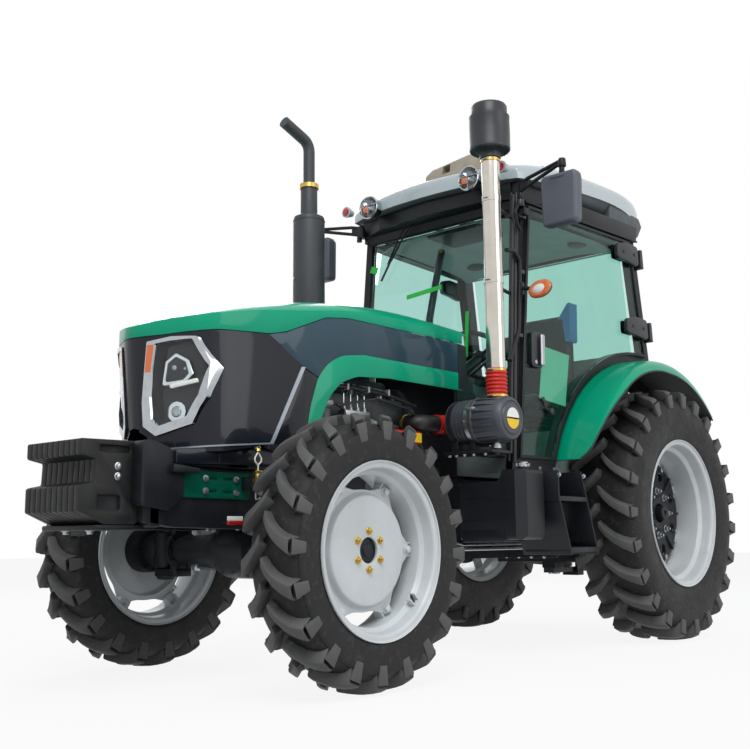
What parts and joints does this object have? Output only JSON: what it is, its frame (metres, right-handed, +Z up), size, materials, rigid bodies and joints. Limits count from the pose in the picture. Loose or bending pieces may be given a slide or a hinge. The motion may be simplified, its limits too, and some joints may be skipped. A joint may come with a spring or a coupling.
{
  "type": "farm tractor with cab",
  "caption": "Four-wheel-drive farm tractor with closed cab, tilting hood, front weights, upright exhaust and intake, and rear three-point linkage.",
  "frame": {"origin": "on the ground, in the middle of the overall length and width", "axes": "+Z up, the tractor faces -Y, its left side is +X"},
  "size_m": [2.13, 4.7999, 3.1838],
  "materials": {
    "tyre": "matte rubber",
    "rim_paint": "satin",
    "chassis_black": "satin",
    "green_paint": "gloss",
    "gloss_black": "gloss",
    "lamp_glass": "bright",
    "engine_metal": "satin",
    "cab_black": "satin",
    "cab_lining": "grained",
    "tinted_glass": "clear",
    "roof_paint": "gloss",
    "seat_cover": "woven",
    "black_plastic": "satin",
    "polished_steel": "polished",
    "red_rubber": "satin",
    "muffler_paint": "matte"
  },
  "bodies": {
    "chassis": {"front_axle": "chassis_black", "front_frame": "chassis_black", "front_weights": "chassis_black", "radiator": "chassis_black", "engine_block": "engine_metal", "gearbox_housing": "chassis_black", "drawbar": "chassis_black", "rear_axle": "chassis_black", "hood_support": "chassis_black", "cab_frame": "cab_black", "windscreen": "tinted_glass", "rear_window": "tinted_glass", "cab_floor": "cab_lining", "fender_left": "green_paint", "fender_right": "green_paint", "roof_shell": "roof_paint", "roof_lining": "cab_black", "roof_lamps": "lamp_glass", "seat": "seat_cover", "steering_column": "cab_lining", "side_console": "cab_lining", "mirrors": "cab_black", "fuel_tank": "black_plastic", "battery_box": "black_plastic", "steps": "cab_black", "air_cleaner": "black_plastic", "intake_stack": "polished_steel", "precleaner": "black_plastic", "intake_hose": "red_rubber", "exhaust_stack": "muffler_paint"},
    "hood": {"hood_top": "green_paint", "nose_shell": "gloss_black", "headlamps": "lamp_glass", "side_panels": "gloss_black", "arch_bands": "green_paint"},
    "knuckle_left": {"knuckle_left": "chassis_black"},
    "knuckle_right": {"knuckle_right": "chassis_black"},
    "tie_rod": {"tie_rod": "chassis_black"},
    "front_wheel_left": {"front_rim_left": "rim_paint", "front_tyre_left": "tyre"},
    "front_wheel_right": {"front_rim_right": "rim_paint", "front_tyre_right": "tyre"},
    "rear_wheel_left": {"rear_rim_left": "rim_paint", "rear_tyre_left": "tyre"},
    "rear_wheel_right": {"rear_rim_right": "rim_paint", "rear_tyre_right": "tyre"},
    "door_left": {"door_left": "cab_black", "door_left_glass": "tinted_glass"},
    "door_right": {"door_right": "cab_black", "door_right_glass": "tinted_glass"},
    "lower_links": {"lower_links": "chassis_black"},
    "lift_arms": {"lift_arms": "chassis_black"},
    "lift_rods": {"lift_rods": "chassis_black"},
    "top_link": {"top_link": "chassis_black"}
  },
  "joints": [
    {"name": "hood_hinge", "type": "hinge", "parent": "chassis", "child": "hood", "pos_m": [0, -0.042, 1.78], "axis": [-1, 0, 0], "range_deg": [0, 50]},
    {"name": "steer_left", "type": "hinge", "parent": "chassis", "child": "knuckle_left", "pos_m": [0.6, -1.36, 0.595], "axis": [0, 0, 1], "range_deg": [-35, 35]},
    {"name": "steer_right", "type": "hinge", "parent": "chassis", "child": "knuckle_right", "pos_m": [-0.6, -1.36, 0.595], "axis": [0, 0, 1], "range_deg": [-35, 35]},
    {"name": "tie_rod_slide", "type": "slide", "parent": "chassis", "child": "tie_rod", "axis": [-1, 0, 0], "range_m": [-0.1225, 0.1225]},
    {"name": "front_wheel_left_spin", "type": "hinge", "parent": "knuckle_left", "child": "front_wheel_left", "pos_m": [0.772, -1.36, 0.595], "axis": [1, 0, 0], "continuous": true},
    {"name": "front_wheel_right_spin", "type": "hinge", "parent": "knuckle_right", "child": "front_wheel_right", "pos_m": [-0.772, -1.36, 0.595], "axis": [1, 0, 0], "continuous": true},
    {"name": "rear_wheel_left_spin", "type": "hinge", "parent": "chassis", "child": "rear_wheel_left", "pos_m": [0.785, 1.45, 0.785], "axis": [1, 0, 0], "continuous": true},
    {"name": "rear_wheel_right_spin", "type": "hinge", "parent": "chassis", "child": "rear_wheel_right", "pos_m": [-0.785, 1.45, 0.785], "axis": [1, 0, 0], "continuous": true},
    {"name": "door_left_hinge", "type": "hinge", "parent": "chassis", "child": "door_left", "pos_m": [0.73663, 1.5148, 1.99], "axis": [-0.0101, -0.148, 0.9889], "range_deg": [0, 65]},
    {"name": "door_right_hinge", "type": "hinge", "parent": "chassis", "child": "door_right", "pos_m": [-0.73663, 1.5148, 1.99], "axis": [-0.0101, 0.148, -0.9889], "range_deg": [0, 65]},
    {"name": "hitch_lift", "type": "hinge", "parent": "chassis", "child": "lower_links", "pos_m": [0, 1.51, 0.5], "axis": [1, 0, 0], "range_deg": [-14, 28]},
    {"name": "lift_arm_turn", "type": "hinge", "parent": "chassis", "child": "lift_arms", "pos_m": [0, 1.665, 1.01], "axis": [1, 0, 0], "range_deg": [-22, 43]},
    {"name": "lift_rod_swing", "type": "hinge", "parent": "lift_arms", "child": "lift_rods", "pos_m": [0, 1.965, 1.03], "axis": [1, 0, 0], "range_deg": [-39, 20]},
    {"name": "top_link_swing", "type": "hinge", "parent": "chassis", "child": "top_link", "pos_m": [0, 1.795, 0.9], "axis": [1, 0, 0], "range_deg": [-20, 30]}
  ],
  "couplings": [
    {"joint": "steer_right", "follows": "steer_left", "ratio": 1},
    {"joint": "tie_rod_slide", "follows": "steer_left", "m_per_rad": 0.2},
    {"joint": "lift_arm_turn", "follows": "hitch_lift", "ratio": 1.52},
    {"joint": "lift_rod_swing", "follows": "hitch_lift", "ratio": -1.37}
  ]
}
